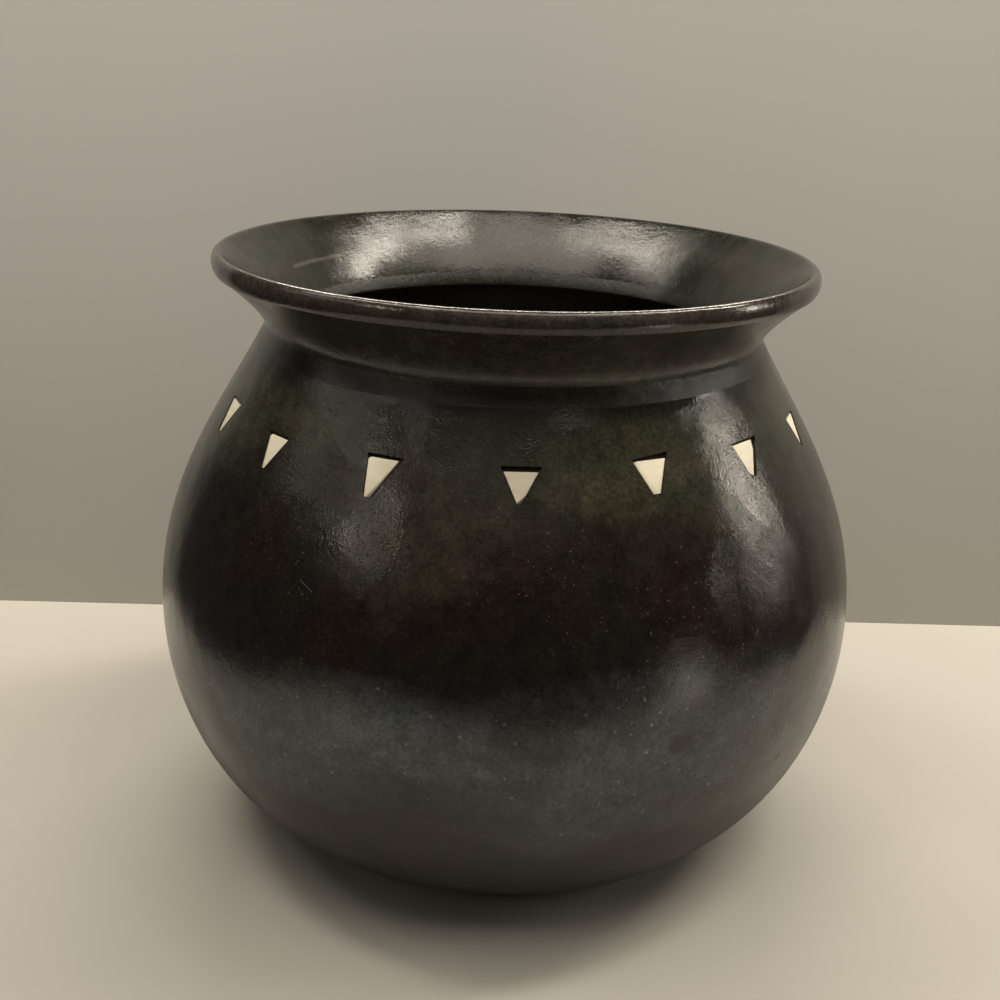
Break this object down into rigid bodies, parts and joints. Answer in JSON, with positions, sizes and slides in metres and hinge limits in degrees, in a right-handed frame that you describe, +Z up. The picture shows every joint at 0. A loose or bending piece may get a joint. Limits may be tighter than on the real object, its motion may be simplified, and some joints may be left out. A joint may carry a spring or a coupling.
{
  "type": "ceramic vase",
  "caption": "Round burnished black clay vase with a flared neck and a ring of small pale triangular inlays set round the shoulder; holds cut or dried stems.",
  "frame": {"origin": "centre of the flat underside, on the surface that the vase stands on", "axes": "+Z up along the vase's axis of turning, -Y towards the pictured front, +X to the right of it"},
  "size_m": [0.2254, 0.2254, 0.1871],
  "materials": {
    "burnished_clay": "burnished, satin, nearly black with brown and olive patches",
    "pale_shell": "hand-cut cream shell, matte to satin",
    "dark_mastic": "dull black setting mastic"
  },
  "bodies": {
    "root": {"vase_body": "burnished_clay", "inlay_01": "pale_shell", "inlay_02": "pale_shell", "inlay_03": "pale_shell", "inlay_04": "pale_shell", "inlay_05": "pale_shell", "inlay_06": "pale_shell", "inlay_07": "pale_shell", "inlay_08": "pale_shell", "inlay_09": "pale_shell", "inlay_10": "pale_shell", "inlay_11": "pale_shell", "inlay_12": "pale_shell", "inlay_13": "pale_shell", "inlay_14": "pale_shell", "inlay_15": "pale_shell", "inlay_16": "pale_shell", "inlay_bed_01": "dark_mastic", "inlay_bed_02": "dark_mastic", "inlay_bed_03": "dark_mastic", "inlay_bed_04": "dark_mastic", "inlay_bed_05": "dark_mastic", "inlay_bed_06": "dark_mastic", "inlay_bed_07": "dark_mastic", "inlay_bed_08": "dark_mastic", "inlay_bed_09": "dark_mastic", "inlay_bed_10": "dark_mastic", "inlay_bed_11": "dark_mastic", "inlay_bed_12": "dark_mastic", "inlay_bed_13": "dark_mastic", "inlay_bed_14": "dark_mastic", "inlay_bed_15": "dark_mastic", "inlay_bed_16": "dark_mastic"}
  },
  "joints": []
}
